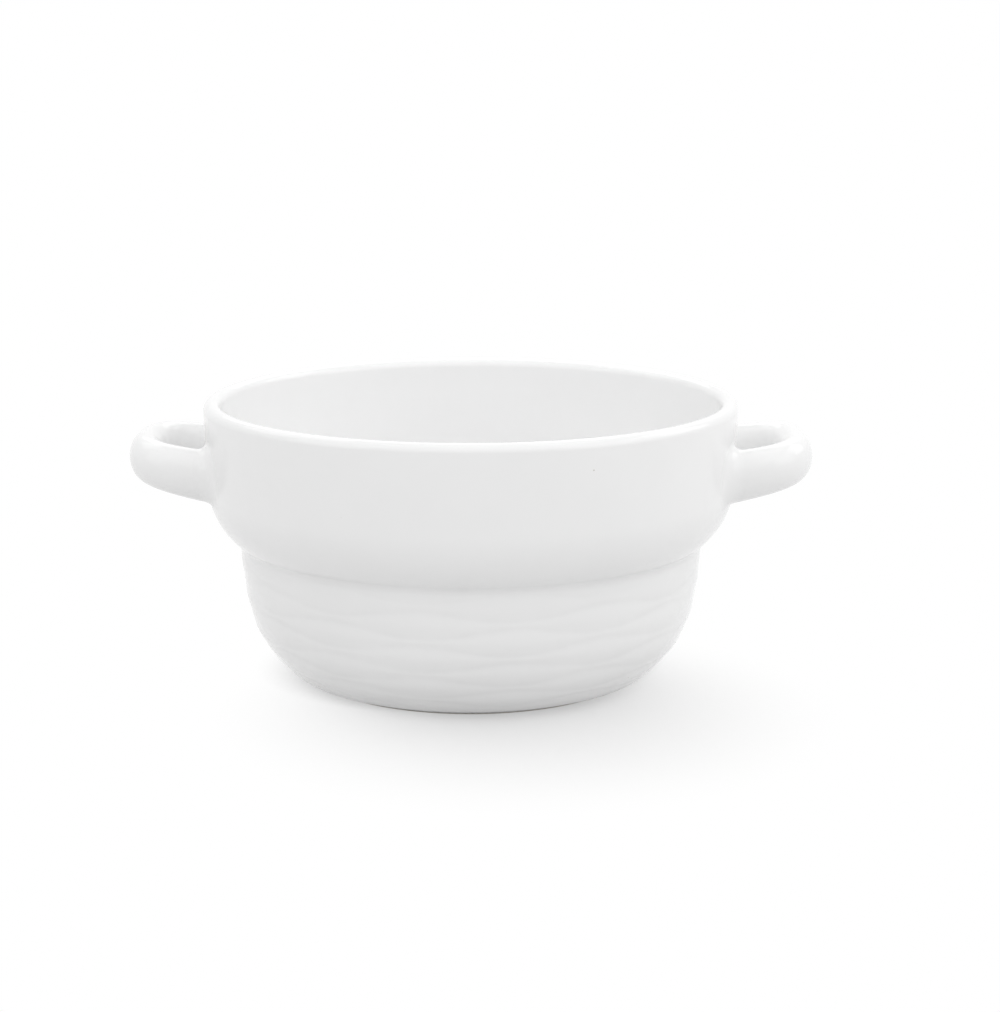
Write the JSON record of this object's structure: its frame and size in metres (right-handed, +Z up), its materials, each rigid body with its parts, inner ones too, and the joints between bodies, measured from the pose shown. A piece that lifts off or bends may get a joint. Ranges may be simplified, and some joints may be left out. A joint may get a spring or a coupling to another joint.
{
  "type": "soup bowl",
  "caption": "Round glazed porcelain soup bowl with a plain collar, a stepped shoulder, rows of lens-shaped relief on the lower wall, a foot ring and a loop handle on each side.",
  "frame": {"origin": "on the table, under the middle of the bowl", "axes": "+Z up along the bowl's axis, the handles along -X and +X, the pictured front facing -Y"},
  "size_m": [0.16, 0.125, 0.066],
  "materials": {
    "glazed_porcelain": "clear gloss glaze over white porcelain",
    "glazed_slip": "clear gloss glaze over fired slip"
  },
  "bodies": {
    "root": {"bowl_body": "glazed_porcelain", "handle_left": "glazed_porcelain", "handle_right": "glazed_porcelain", "slip_joint_left_front": "glazed_slip", "slip_joint_left_back": "glazed_slip", "slip_joint_right_front": "glazed_slip", "slip_joint_right_back": "glazed_slip"}
  },
  "joints": []
}
